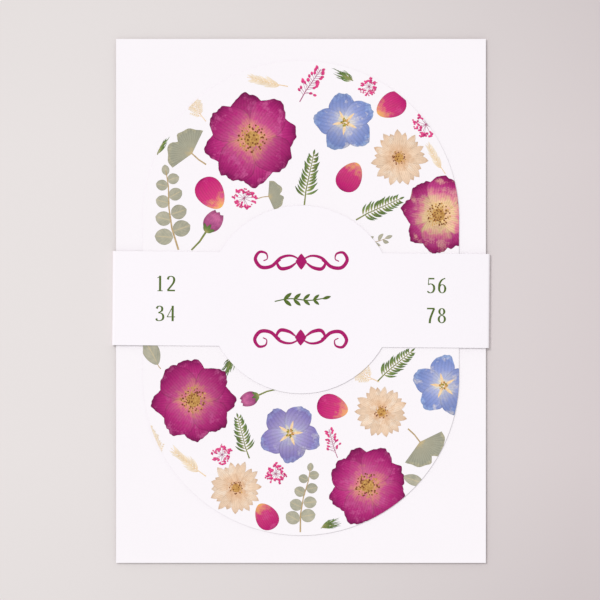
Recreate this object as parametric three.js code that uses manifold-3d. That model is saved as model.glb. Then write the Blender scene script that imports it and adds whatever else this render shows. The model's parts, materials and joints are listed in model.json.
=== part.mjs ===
import * as THREE from "three";
import { mergeVertices } from "three/addons/utils/BufferGeometryUtils.js";
import Module from "manifold-3d";

// A wedding invitation of three sheets: a backing card, a round-ended flower card that lies on it,
// and a belly band with a round name plate, folded round both and glued to itself at the back.
// Millimetres. It lies face up: X across the card, Y up the card, Z out of its face.
// The origin is under the middle of the backing card, on the surface that the band lies on.

// Backing card
const cardWidth = 120;
const cardHeight = 170;
const cardThickness = 0.4;

// Flower card, a rectangle with half-round ends: its margins are how far the backing card shows
// at each side and at each end, if both lie with their middles together.
const sideMargin = 8.75;
const endMargin = 8;
const flowerWidth = cardWidth - 2 * sideMargin;
const flowerHeight = cardHeight - 2 * endMargin;
const flowerThickness = 0.4;
const flowerRise = 0.95;

// Belly band: its rise is how far its middle lies above the card's, its side room is what each
// fold stands out past the card's edge, and the lap is where its two ends lie over each other.
const bandHeight = 30.5;
const bandThickness = 0.25;
const bandRise = 0.45;
const bandTiltDegrees = -0.45;
const bandSideRoom = 1.15;
const plateDiameter = 61;
const lapLength = 24;
const glueLength = 16;
const glueMargin = 2;
const glueThickness = 0.05;

// Clearances: under the card, and between the print and the band's front
const backGap = 0.05;
const frontGap = 0.1;

// Print: the numerals stand in two rows and two columns round a point that is numeralMiddle from
// the band's middle, at each side of it. The flourishes lie flourishOffset above and below it.
const inkThickness = 0.03;
const numeralHeight = 5;
const numeralPitch = 3.6;
const numeralRowPitch = 9.7;
const numeralMiddle = 43.9;
const flourishWidth = 31;
const flourishOffset = 12.3;
const sprigWidth = 17;

// Heights of each layer, from the surface up
const glueZ = bandThickness;
const innerLapZ = glueZ + glueThickness;
const cardZ = innerLapZ + bandThickness + backGap;
const flowerZ = cardZ + cardThickness;
const inkZ = flowerZ + flowerThickness;
const eyeZ = inkZ + inkThickness;
const bandFrontZ = eyeZ + inkThickness + frontGap;
const bandTopZ = bandFrontZ + bandThickness;

// Finish
const roundSegments = 32;
const foldSegments = 5;

const wasm = await Module();
wasm.setup();

const paper = (color) => new THREE.MeshStandardMaterial({ color, roughness: 0.85, metalness: 0 });
const finishes = {
  cardStock: paper(0xfbf6fa),
  bandPaper: paper(0xfaf5f9),
  glue: new THREE.MeshStandardMaterial({ color: 0xe9e4d6, roughness: 0.4, metalness: 0 }),
  magentaInk: paper(0xb5307c),
  roseInk: paper(0xcf3f7f),
  mauveInk: paper(0xb0608f),
  violetInk: paper(0x939bd0),
  peachInk: paper(0xecccb0),
  creamInk: paper(0xf5e3cc),
  ochreInk: paper(0xb98a4e),
  sageInk: paper(0xabab98),
  greenInk: paper(0x6c8a50),
  titleInk: paper(0xa81366),
  numeralInk: paper(0x66794a),
};

// Solids

function toManifold(geometry) {
  const bare = geometry.clone();
  bare.deleteAttribute("normal");
  bare.deleteAttribute("uv");
  const merged = mergeVertices(bare);
  return new wasm.Manifold(new wasm.Mesh({
    numProp: 3,
    vertProperties: new Float32Array(merged.attributes.position.array),
    triVerts: new Uint32Array(merged.index.array),
  }));
}

function fromManifold(solid) {
  const mesh = solid.getMesh();
  const geometry = new THREE.BufferGeometry();
  geometry.setAttribute("position", new THREE.BufferAttribute(mesh.vertProperties, 3));
  geometry.setIndex(new THREE.BufferAttribute(mesh.triVerts, 1));
  geometry.computeVertexNormals();
  return geometry;
}

function union(geometries) {
  return fromManifold(geometries.map(toManifold).reduce((whole, next) => whole.add(next)));
}

// What lies inside the cutter, without any crumb that the cut parts from the rest
function trim(geometry, cutter) {
  const pieces = toManifold(geometry).intersect(cutter).decompose();
  const largestFirst = pieces.sort((a, b) => b.volume() - a.volume());
  return fromManifold(largestFirst[0]);
}

function plate(shape, thickness, curveSegments = roundSegments) {
  return new THREE.ExtrudeGeometry(shape, { depth: thickness, bevelEnabled: false, curveSegments });
}

function shapeOf(points) {
  return new THREE.Shape(points.map(([x, y]) => new THREE.Vector2(x, y)));
}

function named(name, geometry, material) {
  const mesh = new THREE.Mesh(geometry, material);
  mesh.name = name;
  return mesh;
}

// Sheets

function roundEndedShape(width, height) {
  const radius = width / 2;
  const straight = height / 2 - radius;
  const shape = new THREE.Shape();
  shape.absarc(0, straight, radius, 0, Math.PI, false);
  shape.absarc(0, -straight, radius, Math.PI, 2 * Math.PI, false);
  return shape;
}

function rectangleShape(width, height) {
  const x = width / 2;
  const y = height / 2;
  return shapeOf([[-x, -y], [x, -y], [x, y], [-x, y]]);
}

// The belly band is one folded sheet of paper, made in five lengths that meet end to end: the front
// with its round plate, a fold at each side, and two laps under the card that the glue joins.

// Half a tube round (x, z), open towards the card; the side is -1 at the left and 1 at the right.
function foldGeometry(side, x, z, radius) {
  const up = Math.PI / 2;
  const start = side > 0 ? -up : up;
  const end = start + Math.PI;
  const section = new THREE.Shape();
  section.absarc(x, z, radius, start, end, false);
  section.absarc(x, z, radius - bandThickness, end, start, true);
  const fold = plate(section, bandHeight, foldSegments);
  fold.rotateX(Math.PI / 2);
  fold.translate(0, bandHeight / 2, 0);
  return fold;
}

function panelGeometry(fromX, toX, z) {
  const panel = plate(rectangleShape(toX - fromX, bandHeight), bandThickness);
  panel.translate((fromX + toX) / 2, 0, z);
  return panel;
}

function bandMeshes() {
  const side = cardWidth / 2 + bandSideRoom;
  const leftRadius = bandTopZ / 2;
  const rightRadius = (bandTopZ - innerLapZ) / 2;
  const leftX = -side + leftRadius;
  const rightX = side - rightRadius;
  const namePlate = plate(new THREE.Shape().absarc(0, 0, plateDiameter / 2, 0, 2 * Math.PI), bandThickness);
  namePlate.translate(0, 0, bandFrontZ);
  const lengths = [
    ["band_front", union([panelGeometry(leftX, rightX, bandFrontZ), namePlate])],
    ["band_left_fold", foldGeometry(-1, leftX, leftRadius, leftRadius)],
    ["band_right_fold", foldGeometry(1, rightX, innerLapZ + rightRadius, rightRadius)],
    ["band_outer_lap", panelGeometry(leftX, lapLength / 2, 0)],
    ["band_inner_lap", panelGeometry(-lapLength / 2, rightX, innerLapZ)],
  ];
  return lengths.map(([name, geometry]) => named(name, geometry, finishes.bandPaper));
}

// Outlines of the printed motifs. Each is about 1 from its middle to its tip.

// Petals round a middle: `waist` is how far out two petals part, `skew` leans them round like a wheel,
// and no two reach quite as far.
function flowerShape(petals, waist, pointsPerPetal, roundness, skew) {
  const points = [];
  for (let petal = 0; petal < petals; petal += 1) {
    const reach = 0.94 + 0.06 * Math.sin(2.4 * petal + 1);
    for (let step = 0; step < pointsPerPetal; step += 1) {
      const along = step / pointsPerPetal;
      const lobe = Math.sin(Math.PI * along ** skew) ** roundness;
      const radius = waist + (reach - waist) * lobe;
      const angle = (2 * Math.PI * (petal + along)) / petals;
      points.push([radius * Math.cos(angle), radius * Math.sin(angle)]);
    }
  }
  return shapeOf(points);
}

// A stem with a side shoot at each step, the right side's points mirrored to the left. A shoot
// leans up by `lift`, is `thick` at its end and gets shorter towards the top.
function sprayShape(pairs, spread, lift, thick, stem) {
  const right = [[stem, -1]];
  for (let pair = 0; pair < pairs; pair += 1) {
    const low = -0.7 + (1.5 * pair) / pairs;
    const reach = spread * (1 - 0.65 * (pair / pairs) ** 1.5);
    const foot = 0.8 / pairs;
    right.push([stem, low], [reach, low + lift]);
    if (thick > 0) right.push([reach * 0.94, low + lift + thick]);
    right.push([stem, low + foot]);
  }
  const left = right.map(([x, y]) => [-x, y]).reverse();
  return shapeOf([...right, [0, 1], ...left]);
}

function petalShape() {
  const points = [];
  const count = 14;
  for (let step = 0; step < count; step += 1) {
    const angle = (2 * Math.PI * step) / count;
    const width = 0.78 * Math.abs(Math.sin(angle)) ** 1.15 * Math.sign(Math.sin(angle));
    points.push([width * (1 - 0.22 * Math.cos(angle)), -Math.cos(angle)]);
  }
  return shapeOf(points);
}

function budShape() {
  const right = [[0.04, -1], [0.05, -0.1], [0.3, 0.06], [0.4, 0.36], [0.28, 0.72]];
  const left = right.map(([x, y]) => [-x, y]).reverse();
  return shapeOf([...right, [0, 1], ...left]);
}

// A fan leaf on its stalk, with a wavy rim that is split at the middle
function fanLeafShape() {
  const points = [[-0.04, -1], [0.04, -1], [0.05, -0.3]];
  const steps = 10;
  for (let step = 0; step <= steps; step += 1) {
    const share = step / steps;
    const angle = Math.PI * (0.08 + 0.84 * share);
    const split = step === steps / 2 ? 0.3 : 0;
    const radius = 1.12 - split + 0.04 * Math.sin(9 * share * Math.PI);
    points.push([radius * Math.cos(angle), -0.2 + radius * Math.sin(angle)]);
  }
  points.push([-0.05, -0.3]);
  return shapeOf(points);
}

// A tapering ribbon along a smooth line through the points
function strokeShape(points, halfWidthAt, steps) {
  const line = new THREE.SplineCurve(points.map(([x, y]) => new THREE.Vector2(x, y)));
  const near = [];
  const far = [];
  for (let step = 0; step <= steps; step += 1) {
    const share = step / steps;
    const at = line.getPoint(share);
    const way = line.getTangent(share);
    const half = halfWidthAt(share, way);
    near.push([at.x + way.y * half, at.y - way.x * half]);
    far.unshift([at.x - way.y * half, at.y + way.x * half]);
  }
  return shapeOf([...near, ...far]);
}

function ovalShape(x, y, radiusX, radiusY, turn = 0) {
  const shape = new THREE.Shape();
  shape.absellipse(x, y, radiusX, radiusY, 0, 2 * Math.PI, false, turn);
  return shape;
}

// A stem with round leaves in pairs that shrink towards its tip
function roundLeafSprig(thickness) {
  const stemLine = [[0.1, -1], [-0.02, -0.3], [0.02, 0.4], [0, 0.9]];
  const stem = strokeShape(stemLine, (share) => 0.03 - 0.015 * share, 4);
  const pieces = [plate(stem, thickness)];
  const pairs = 4;
  for (let pair = 0; pair < pairs; pair += 1) {
    const y = -0.62 + 0.4 * pair;
    const radius = 0.21 - 0.025 * pair;
    pieces.push(plate(ovalShape(-radius, y, radius, radius * 0.86, 0.4), thickness, 5));
    pieces.push(plate(ovalShape(radius, y + 0.14, radius, radius * 0.86, -0.4), thickness, 5));
  }
  pieces.push(plate(ovalShape(0, 0.88, 0.1, 0.12), thickness, 5));
  return union(pieces);
}

// Kinds of motif: how each is drawn, and in which ink. An eye is the disc in a bloom's middle.
const motifs = {
  cosmos: { draw: (t) => plate(flowerShape(8, 0.7, 4, 0.5, 1), t), ink: "magentaInk", eye: 0.3 },
  periwinkle: { draw: (t) => plate(flowerShape(5, 0.42, 6, 0.6, 0.8), t), ink: "violetInk" },
  daisy: { draw: (t) => plate(flowerShape(11, 0.46, 3, 0.7, 1), t), ink: "peachInk", eye: 0.24 },
  eucalyptus: { draw: roundLeafSprig, ink: "sageInk" },
  fanLeaf: { draw: (t) => plate(fanLeafShape(), t), ink: "sageInk" },
  fern: { draw: (t) => plate(sprayShape(6, 0.5, 0.24, 0, 0.035), t), ink: "greenInk" },
  grass: { draw: (t) => plate(sprayShape(5, 0.3, 0.42, 0, 0.03), t), ink: "creamInk" },
  heather: { draw: (t) => plate(sprayShape(5, 0.5, 0.1, 0.16, 0.04), t), ink: "roseInk" },
  petal: { draw: (t) => plate(petalShape(), t), ink: "roseInk" },
  bud: { draw: (t) => plate(budShape(), t), ink: "mauveInk" },
};

// Where the motifs lie on the flower card, upper end, lower end and under the band: percent of its
// half width and half height from its middle, size in percent of its half width, turn in degrees.
const flowerPrint = [
  ["cosmos_1", "cosmos", -31, 67, 30, 10],
  ["cosmos_2", "cosmos", 87, 35, 25, 35],
  ["periwinkle_1", "periwinkle", 28, 74, 20, 20],
  ["daisy_1", "daisy", 62, 59, 19, 0],
  ["eucalyptus_1", "eucalyptus", -83, 38, 27, 6],
  ["fan_leaf_1", "fanLeaf", -71, 62, 14, 50],
  ["fern_1", "fern", 5, 51, 18, -12],
  ["fern_2", "fern", 50, 38, 17, -66],
  ["heather_1", "heather", 6, 90, 13, -35],
  ["grass_1", "grass", -22, 91, 14, 76],
  ["grass_2", "grass", 85, 59, 12, 30],
  ["loose_petal_1", "petal", -57, 44, 11, 35],
  ["loose_petal_2", "petal", 57, 81, 10, -60],
  ["loose_petal_3", "petal", 31, 51, 10, 150],
  ["bud_1", "bud", -60, 28, 15, -35],
  ["fan_leaf_2", "fanLeaf", -19, 43, 9, -80],
  ["cosmos_3", "cosmos", -68, -43, 27, 0],
  ["cosmos_4", "cosmos", 42, -79, 26, 20],
  ["periwinkle_2", "periwinkle", -7, -57, 20, 50],
  ["periwinkle_3", "periwinkle", 90, -37, 20, 5],
  ["daisy_2", "daisy", -41, -80, 18, 12],
  ["daisy_3", "daisy", 51, -48, 18, 25],
  ["eucalyptus_2", "eucalyptus", 2, -84, 22, -12],
  ["fan_leaf_3", "fanLeaf", 77, -62, 14, -140],
  ["fern_3", "fern", -37, -58, 15, 14],
  ["fern_4", "fern", 60, -28, 16, -50],
  ["loose_petal_4", "petal", 20, -46, 10, 75],
  ["loose_petal_5", "petal", -22, -92, 9, -150],
  ["heather_2", "heather", 20, -61, 10, 15],
  ["grass_3", "grass", -72, -69, 15, 50],
  ["bud_2", "bud", -27, -41, 12, 112],
  ["eucalyptus_3", "eucalyptus", -31, 8, 28, 70],
  ["periwinkle_4", "periwinkle", -78, 1, 19, 30],
  ["fan_leaf_4", "fanLeaf", 74, -1, 15, 25],
];

// The artwork is drawn for a card half as tall again as it is wide, and shrinks to fit another.
function flowerPrintMeshes() {
  const unit = Math.min(flowerWidth / 2, flowerHeight / 3) / 100;
  const cutter = toManifold(plate(roundEndedShape(flowerWidth, flowerHeight), inkThickness));
  const meshes = [];
  for (const [name, kind, across, up, size, turn] of flowerPrint) {
    const { draw, ink, eye } = motifs[kind];
    const x = (across / 100) * (flowerWidth / 2);
    const y = (up / 100) * (flowerHeight / 2);
    const scale = size * unit;
    const place = (geometry) => geometry
      .rotateZ(THREE.MathUtils.degToRad(turn))
      .scale(scale, scale, 1)
      .translate(x, y, 0);
    const field = named(name, trim(place(draw(inkThickness)), cutter), finishes[ink]);
    field.position.set(0, flowerRise, inkZ);
    meshes.push(field);
    if (eye) {
      const disc = plate(ovalShape(0, 0, eye, eye), inkThickness, 7);
      const middle = named(`${name}_eye`, trim(place(disc), cutter), finishes.ochreInk);
      middle.position.set(0, flowerRise, eyeZ);
      meshes.push(middle);
    }
  }
  return meshes;
}

// Numerals, one unit tall: upright strokes are thick and level ones thin, as with a broad pen
const penHalf = 0.07;
const hairHalf = 0.026;

function pen(points, steps = 12) {
  const halfWidthAt = (share, way) => hairHalf + (penHalf - hairHalf) * Math.abs(way.y) ** 1.5;
  return strokeShape(points, halfWidthAt, steps);
}

function bar(x0, y0, x1, y1, half) {
  return strokeShape([[x0, y0], [x1, y1]], () => half, 1);
}

function bowl(x, y, radiusX, radiusY) {
  const shape = ovalShape(x, y, radiusX + penHalf, radiusY + hairHalf);
  shape.holes.push(ovalShape(x, y, radiusX - penHalf, radiusY - hairHalf));
  return shape;
}

const numeralStrokes = {
  1: [
    bar(0.3, 0, 0.3, 1, penHalf),
    bar(0.13, 0.86, 0.32, 0.97, hairHalf),
    bar(0.13, 0.025, 0.47, 0.025, hairHalf),
  ],
  2: [
    pen([[0.08, 0.76], [0.14, 0.92], [0.3, 0.97], [0.45, 0.89], [0.49, 0.71], [0.4, 0.48], [0.07, 0.06]]),
    bar(0.05, 0.05, 0.55, 0.05, 0.05),
  ],
  3: [
    pen([[0.09, 0.81], [0.17, 0.94], [0.31, 0.97], [0.44, 0.87], [0.42, 0.67], [0.2, 0.54]], 9),
    pen([[0.2, 0.54], [0.42, 0.49], [0.52, 0.33], [0.48, 0.12], [0.3, 0.03], [0.13, 0.05], [0.07, 0.17]]),
  ],
  4: [
    bar(0.42, 0.98, 0.06, 0.28, hairHalf),
    bar(0.03, 0.28, 0.57, 0.28, hairHalf),
    bar(0.41, 0, 0.41, 1, penHalf),
  ],
  5: [
    bar(0.13, 0.95, 0.52, 0.95, 0.05),
    bar(0.16, 0.97, 0.13, 0.55, hairHalf),
    pen([[0.13, 0.56], [0.3, 0.61], [0.46, 0.51], [0.51, 0.3], [0.42, 0.09], [0.24, 0.03], [0.07, 0.13]]),
  ],
  6: [bowl(0.31, 0.3, 0.2, 0.27), pen([[0.11, 0.32], [0.14, 0.62], [0.28, 0.86], [0.5, 0.98]], 6)],
  7: [bar(0.06, 0.95, 0.55, 0.95, 0.05), pen([[0.52, 0.95], [0.38, 0.6], [0.27, 0.28], [0.24, 0]], 4)],
  8: [bowl(0.3, 0.76, 0.16, 0.2), bowl(0.3, 0.27, 0.2, 0.24)],
};

// Two rows of two numerals at each end of the band, counting up from 1
function numeralMeshes() {
  const meshes = [];
  const middleOfBox = [0.3, 0.5];
  for (let index = 0; index < 8; index += 1) {
    const numeral = index + 1;
    const side = index < 4 ? -1 : 1;
    const row = index % 4 < 2 ? 1 : -1;
    const column = index % 2 === 0 ? -1 : 1;
    const geometry = union(numeralStrokes[numeral].map((shape) => plate(shape, inkThickness, 6)));
    geometry.translate(-middleOfBox[0], -middleOfBox[1], 0);
    geometry.scale(numeralHeight, numeralHeight, 1);
    const mesh = named(`numeral_${numeral}`, geometry, finishes.numeralInk);
    const x = side * numeralMiddle + (column * numeralPitch) / 2;
    const y = (row * numeralRowPitch) / 2;
    mesh.position.set(x, y, bandTopZ);
    meshes.push(mesh);
  }
  return meshes;
}

// A pair of scrolls that swell and curl away from a lozenge. Half its width is 1.
function flourishGeometry() {
  const swell = (share) => 0.012 + 0.026 * Math.sin(Math.PI * Math.min(1, share * 1.15));
  const scroll = [
    [0, 0.02], [0.2, 0.12], [0.42, 0.08], [0.62, -0.1], [0.84, -0.12], [0.96, 0.04], [0.88, 0.19],
    [0.74, 0.17], [0.71, 0.06], [0.79, 0.01],
  ];
  const tendril = [[0.1, -0.02], [0.24, -0.12], [0.42, -0.15], [0.5, -0.04], [0.43, 0.03]];
  const pieces = [];
  for (const side of [1, -1]) {
    for (const [line, steps] of [[scroll, 18], [tendril, 8]]) {
      const mirrored = line.map(([x, y]) => [x * side, y]);
      pieces.push(plate(strokeShape(mirrored, swell, steps), inkThickness));
    }
  }
  pieces.push(plate(shapeOf([[0, -0.17], [0.12, 0], [0, 0.17], [-0.12, 0]]), inkThickness));
  return union(pieces);
}

// A level sprig with a pair of leaves at each step
function sprigGeometry() {
  const stem = strokeShape([[-1, -0.08], [-0.4, 0.03], [0.3, -0.03], [0.9, 0.06]], () => 0.022, 8);
  const pieces = [plate(stem, inkThickness)];
  const pairs = 4;
  for (let pair = 0; pair < pairs; pair += 1) {
    const x = -0.66 + (1.5 * pair) / pairs;
    const reach = 0.2 - 0.015 * pair;
    for (const side of [1, -1]) {
      const leaf = ovalShape(x + reach * 0.75, side * reach * 0.62, reach, reach * 0.34, side * 0.7);
      pieces.push(plate(leaf, inkThickness, 4));
    }
  }
  pieces.push(plate(ovalShape(0.98, 0.08, 0.17, 0.055, 0.3), inkThickness, 4));
  return union(pieces);
}

function ornamentMeshes() {
  const half = flourishWidth / 2;
  const upper = flourishGeometry().scale(half, half, 1);
  const lower = upper.clone().rotateZ(Math.PI);
  const top = named("top_flourish", upper, finishes.titleInk);
  top.position.set(0, flourishOffset, bandTopZ);
  const bottom = named("bottom_flourish", lower, finishes.titleInk);
  bottom.position.set(0, -flourishOffset, bandTopZ);
  const sprig = sprigGeometry().scale(sprigWidth / 2, sprigWidth / 2, 1);
  const middle = named("middle_sprig", sprig, finishes.numeralInk);
  middle.position.set(0, 0, bandTopZ);
  return [top, middle, bottom];
}

// Assembly

const baseCard = named(
  "base_card",
  plate(rectangleShape(cardWidth, cardHeight), cardThickness),
  finishes.cardStock,
);
baseCard.position.z = cardZ;

const flowerCard = named(
  "flower_card",
  plate(roundEndedShape(flowerWidth, flowerHeight), flowerThickness),
  finishes.cardStock,
);
flowerCard.position.set(0, flowerRise, flowerZ);

const glueStrip = named(
  "glue_strip",
  plate(rectangleShape(glueLength, bandHeight - 2 * glueMargin), glueThickness),
  finishes.glue,
);
glueStrip.position.z = glueZ;

const band = new THREE.Group();
band.add(...bandMeshes(), glueStrip, ...numeralMeshes(), ...ornamentMeshes());
band.position.y = bandRise;
band.rotation.z = THREE.MathUtils.degToRad(bandTiltDegrees);

const invitation = new THREE.Group();
invitation.add(baseCard, flowerCard, ...flowerPrintMeshes(), band);

export default invitation;
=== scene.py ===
import json
import math
import random

import bmesh
import bpy
from mathutils import Matrix, Vector


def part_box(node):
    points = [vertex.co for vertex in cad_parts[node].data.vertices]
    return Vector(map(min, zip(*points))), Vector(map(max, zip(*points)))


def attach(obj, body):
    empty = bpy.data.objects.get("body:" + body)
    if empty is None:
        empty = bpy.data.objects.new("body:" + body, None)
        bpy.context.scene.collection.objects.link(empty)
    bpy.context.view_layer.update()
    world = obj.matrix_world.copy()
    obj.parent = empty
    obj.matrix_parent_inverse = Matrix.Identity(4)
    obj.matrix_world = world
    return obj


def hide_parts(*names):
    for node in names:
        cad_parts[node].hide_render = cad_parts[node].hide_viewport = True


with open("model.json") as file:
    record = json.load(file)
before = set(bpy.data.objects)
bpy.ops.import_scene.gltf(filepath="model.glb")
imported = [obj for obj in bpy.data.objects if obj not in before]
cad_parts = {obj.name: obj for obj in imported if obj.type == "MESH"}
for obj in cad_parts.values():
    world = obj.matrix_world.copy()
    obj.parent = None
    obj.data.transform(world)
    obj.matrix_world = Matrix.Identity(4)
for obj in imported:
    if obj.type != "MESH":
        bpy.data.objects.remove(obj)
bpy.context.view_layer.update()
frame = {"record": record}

# A wedding invitation: a backing card, a flower card and a paper belly band, in metres.

MM = 0.001
MICRON = 0.000001


def corners(node):
    """The lowest and the highest corner of a node's box at rest."""
    return [Vector(corner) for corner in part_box(node)]


def box_middle(node):
    low, high = corners(node)
    return (low + high) / 2


# Camera: straight above, with +Y up in the picture. The photograph is 600 pixels wide, and the
# backing card is 369.9 of them.
PHOTO_PIXELS = 600
CARD_PIXELS = 369.9
CARD_MIDDLE_PIXEL = (300.96, 300.92)
LENS_MM = 200
SENSOR_MM = 36

card_low, card_high = corners("base_card")
card_middle = box_middle("base_card")
metres_per_pixel = (card_high.x - card_low.x) / CARD_PIXELS


def make_camera():
    data = bpy.data.cameras.new("camera")
    data.lens = LENS_MM
    data.sensor_width = SENSOR_MM
    data.clip_start = 0.05
    data.clip_end = 20
    camera = bpy.data.objects.new("camera", data)
    half_photo = PHOTO_PIXELS / 2
    view_width = PHOTO_PIXELS * metres_per_pixel
    camera.location = (
        card_middle.x + (half_photo - CARD_MIDDLE_PIXEL[0]) * metres_per_pixel,
        card_middle.y - (half_photo - CARD_MIDDLE_PIXEL[1]) * metres_per_pixel,
        card_high.z + view_width * LENS_MM / SENSOR_MM,
    )
    bpy.context.collection.objects.link(camera)
    bpy.context.scene.camera = camera


make_camera()
bpy.context.scene.view_settings.view_transform = "Standard"


# Shader maths: a Value wraps an output socket, and an expression on Values adds its Math nodes.

def tint(red, green, blue):
    """A colour as a screen shows it, 0 to 255, in linear light."""
    linear = []
    for channel in (red, green, blue):
        share = channel / 255
        linear.append(share / 12.92 if share <= 0.04045 else ((share + 0.055) / 1.055) ** 2.4)
    return (*linear, 1)


class Value:
    def __init__(self, finish, socket):
        self.finish = finish
        self.socket = socket

    def math(self, operation, first, second=0):
        return self.finish.node("Math", {"operation": operation}, {0: first, 1: second})

    def __add__(self, other):
        return self.math("ADD", self, other)

    def __radd__(self, other):
        return self.math("ADD", other, self)

    def __sub__(self, other):
        return self.math("SUBTRACT", self, other)

    def __rsub__(self, other):
        return self.math("SUBTRACT", other, self)

    def __mul__(self, other):
        return self.math("MULTIPLY", self, other)

    def __rmul__(self, other):
        return self.math("MULTIPLY", other, self)

    def __pow__(self, other):
        return self.math("POWER", self, other)

    def __abs__(self):
        return self.math("ABSOLUTE", self)

    def sine(self):
        return self.math("SINE", self)

    def larger(self, other):
        return self.math("MAXIMUM", self, other)


class Finish:
    """A material whose nodes are made by name: its settings are set before its inputs."""

    def __init__(self, name, roughness, specular=0.3):
        self.material = bpy.data.materials.new(name)
        self.material.use_nodes = True
        self.tree = self.material.node_tree
        self.shader = self.tree.nodes["Principled BSDF"]
        self.shader.inputs["Roughness"].default_value = roughness
        self.shader.inputs["Specular IOR Level"].default_value = specular

    def node(self, kind, settings=None, inputs=None, output=0):
        made = self.tree.nodes.new("ShaderNode" + kind)
        for key, value in (settings or {}).items():
            if key == "stops":
                self.set_stops(made.color_ramp, value)
            else:
                setattr(made, key, value)
        for key, value in (inputs or {}).items():
            if isinstance(value, Value):
                self.tree.links.new(value.socket, made.inputs[key])
            else:
                made.inputs[key].default_value = value
        return Value(self, made.outputs[output])

    def set_stops(self, ramp, stops):
        while len(ramp.elements) < len(stops):
            ramp.elements.new(0.5)
        for element, (position, colour) in zip(ramp.elements, stops):
            element.position = position
            element.color = colour

    def feed(self, name, value):
        self.tree.links.new(value.socket, self.shader.inputs[name])

    def split(self, vector):
        """The first two numbers of a vector."""
        first = self.node("SeparateXYZ", inputs={0: vector})
        return first, Value(self, first.socket.node.outputs[1])

    def uv(self):
        """Across a blade and along it, each from 0 to 1."""
        return self.split(self.node("UVMap", {"uv_map": "blade"}))

    def place(self):
        """The place on the piece, in metres."""
        return self.node("TexCoord", output=3)

    def noise(self, scale, detail):
        return self.node("TexNoise", inputs={"Vector": self.place(), "Scale": scale, "Detail": detail})

    def ramp(self, factor, stops):
        return self.node("ValToRGB", {"stops": stops}, {0: factor})

    def grey(self, factor, low, high):
        """Where the factor stands between low and high, from 0 to 1."""
        return self.node("MapRange", {"clamp": True}, {0: factor, 1: low, 2: high})

    def mix(self, first, second, factor):
        return self.node("Mix", {"data_type": "RGBA"}, {0: factor, 6: first, 7: second}, 2)

    def shaded(self, colour, level):
        """The colour times a number that changes over the surface."""
        return self.node("VectorMath", {"operation": "SCALE"}, {0: colour, 3: level})

    def bump(self, height, depth, strength=1.0):
        inputs = {"Height": height, "Distance": depth, "Strength": strength}
        self.feed("Normal", self.node("Bump", inputs=inputs))


def shade_attribute(finish):
    return finish.node("Attribute", {"attribute_name": "shade"}, output=2)


# Paper finishes

def paper_finish(name, colour, tooth_depth, brightness=1.0):
    """Smooth uncoated stock: a fine tooth, and fibres that vary its colour by a little."""
    finish = Finish(name, roughness=0.82, specular=0.25)
    fibres = finish.noise(2600, detail=4)
    clouds = finish.noise(60, detail=2)
    level = (0.985 + fibres * 0.016 + clouds * 0.012) * brightness
    finish.feed("Base Color", finish.shaded(colour[:3], level))
    finish.feed("Roughness", 0.76 + fibres * 0.12)
    finish.bump(fibres, tooth_depth)
    return finish.material


CARD_WHITE = tint(251, 246, 250)
BAND_WHITE = tint(251, 246, 251)

# Cut edges are darker than the face. This is partly the greyer colour of cut card and partly painted shade,
# which keeps the upright edge faces from showing as a bright lit rim and darkens the card beside them.
CUT_EDGE_TONE_AND_SHADE = 0.68
card_stock = paper_finish("card_stock", CARD_WHITE, 0.004 * MM)
card_edge_tone_and_shade = paper_finish("card_cut_edge_tone_and_shade", CARD_WHITE, 0.008 * MM, CUT_EDGE_TONE_AND_SHADE)
band_paper = paper_finish("band_paper", BAND_WHITE, 0.003 * MM)
band_edge_tone_and_shade = paper_finish("band_cut_edge_tone_and_shade", BAND_WHITE, 0.006 * MM, CUT_EDGE_TONE_AND_SHADE)


def glue_finish():
    finish = Finish("dried_glue", roughness=0.35)
    clouds = finish.noise(500, detail=3)
    finish.feed("Base Color", finish.ramp(clouds, [(0.3, tint(226, 220, 202)), (0.7, tint(240, 236, 224))]))
    return finish.material


# Printed motifs. Each is drawn as blades: flat sheets with a map from root to tip.

def petal_ink(name, stops, veins, vein_depth=0.12, rim=0.25, mottle=0.16, patch=None):
    """Colour from root to tip, with fine lines along the petal, a darker rim and worn patches."""
    finish = Finish(name, roughness=0.78, specular=0.2)
    across, along = finish.uv()
    blotch = finish.noise(700, detail=5)
    fine = finish.noise(2100, detail=3)
    cloud = finish.noise(315, detail=4)
    colour = finish.ramp(along + (blotch - 0.5) * 0.6, stops)
    if patch:
        worn = finish.grey(cloud + (fine - 0.5) * 0.25, 0.55, 0.68)
        colour = finish.mix(colour, patch, worn * 0.7)
    spread = (across - 0.5) * (veins * math.pi)
    lines = abs((spread + (fine - 0.5) * 2.2).sine()) ** 6
    edge = (abs(across - 0.5) * 2).larger(along) ** 14
    level = shade_attribute(finish) * (1 + (blotch - 0.5) * (mottle * 3) + (fine - 0.5) * (mottle * 1.5))
    level = level * (1 - lines * vein_depth) * (1 - edge * rim)
    finish.feed("Base Color", finish.shaded(colour, level))
    finish.bump(lines * -1 + fine * 0.5, 0.006 * MM, 0.6)
    return finish.material


def leaf_ink(name, body, midrib, side_veins, mottle):
    """A dried leaf: a pale midrib with side veins that slant up to the edge."""
    finish = Finish(name, roughness=0.8, specular=0.2)
    across, along = finish.uv()
    side = abs(across - 0.5) * 2
    blotch = finish.noise(500, detail=5)
    fine = finish.noise(2400, detail=3)
    slant = (along * side_veins - side * 2.2 + (blotch - 0.5) * 0.5) * (2 * math.pi)
    lines = abs((slant * 0.5).sine()) ** 10
    rib = (1 - side) ** 18
    level = shade_attribute(finish) * (1 + (blotch - 0.5) * (mottle * 2) + (fine - 0.5) * mottle)
    level = level * (1 - side ** 10 * 0.18)
    blade = finish.shaded(finish.ramp(blotch, [(0.3, body[0]), (0.7, body[1])]), level)
    colour = finish.mix(blade, midrib, lines * 0.22)
    finish.feed("Base Color", finish.mix(colour, midrib, rib * 0.85))
    finish.bump(rib + lines * 0.4, 0.01 * MM, 0.6)
    return finish.material


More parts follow.
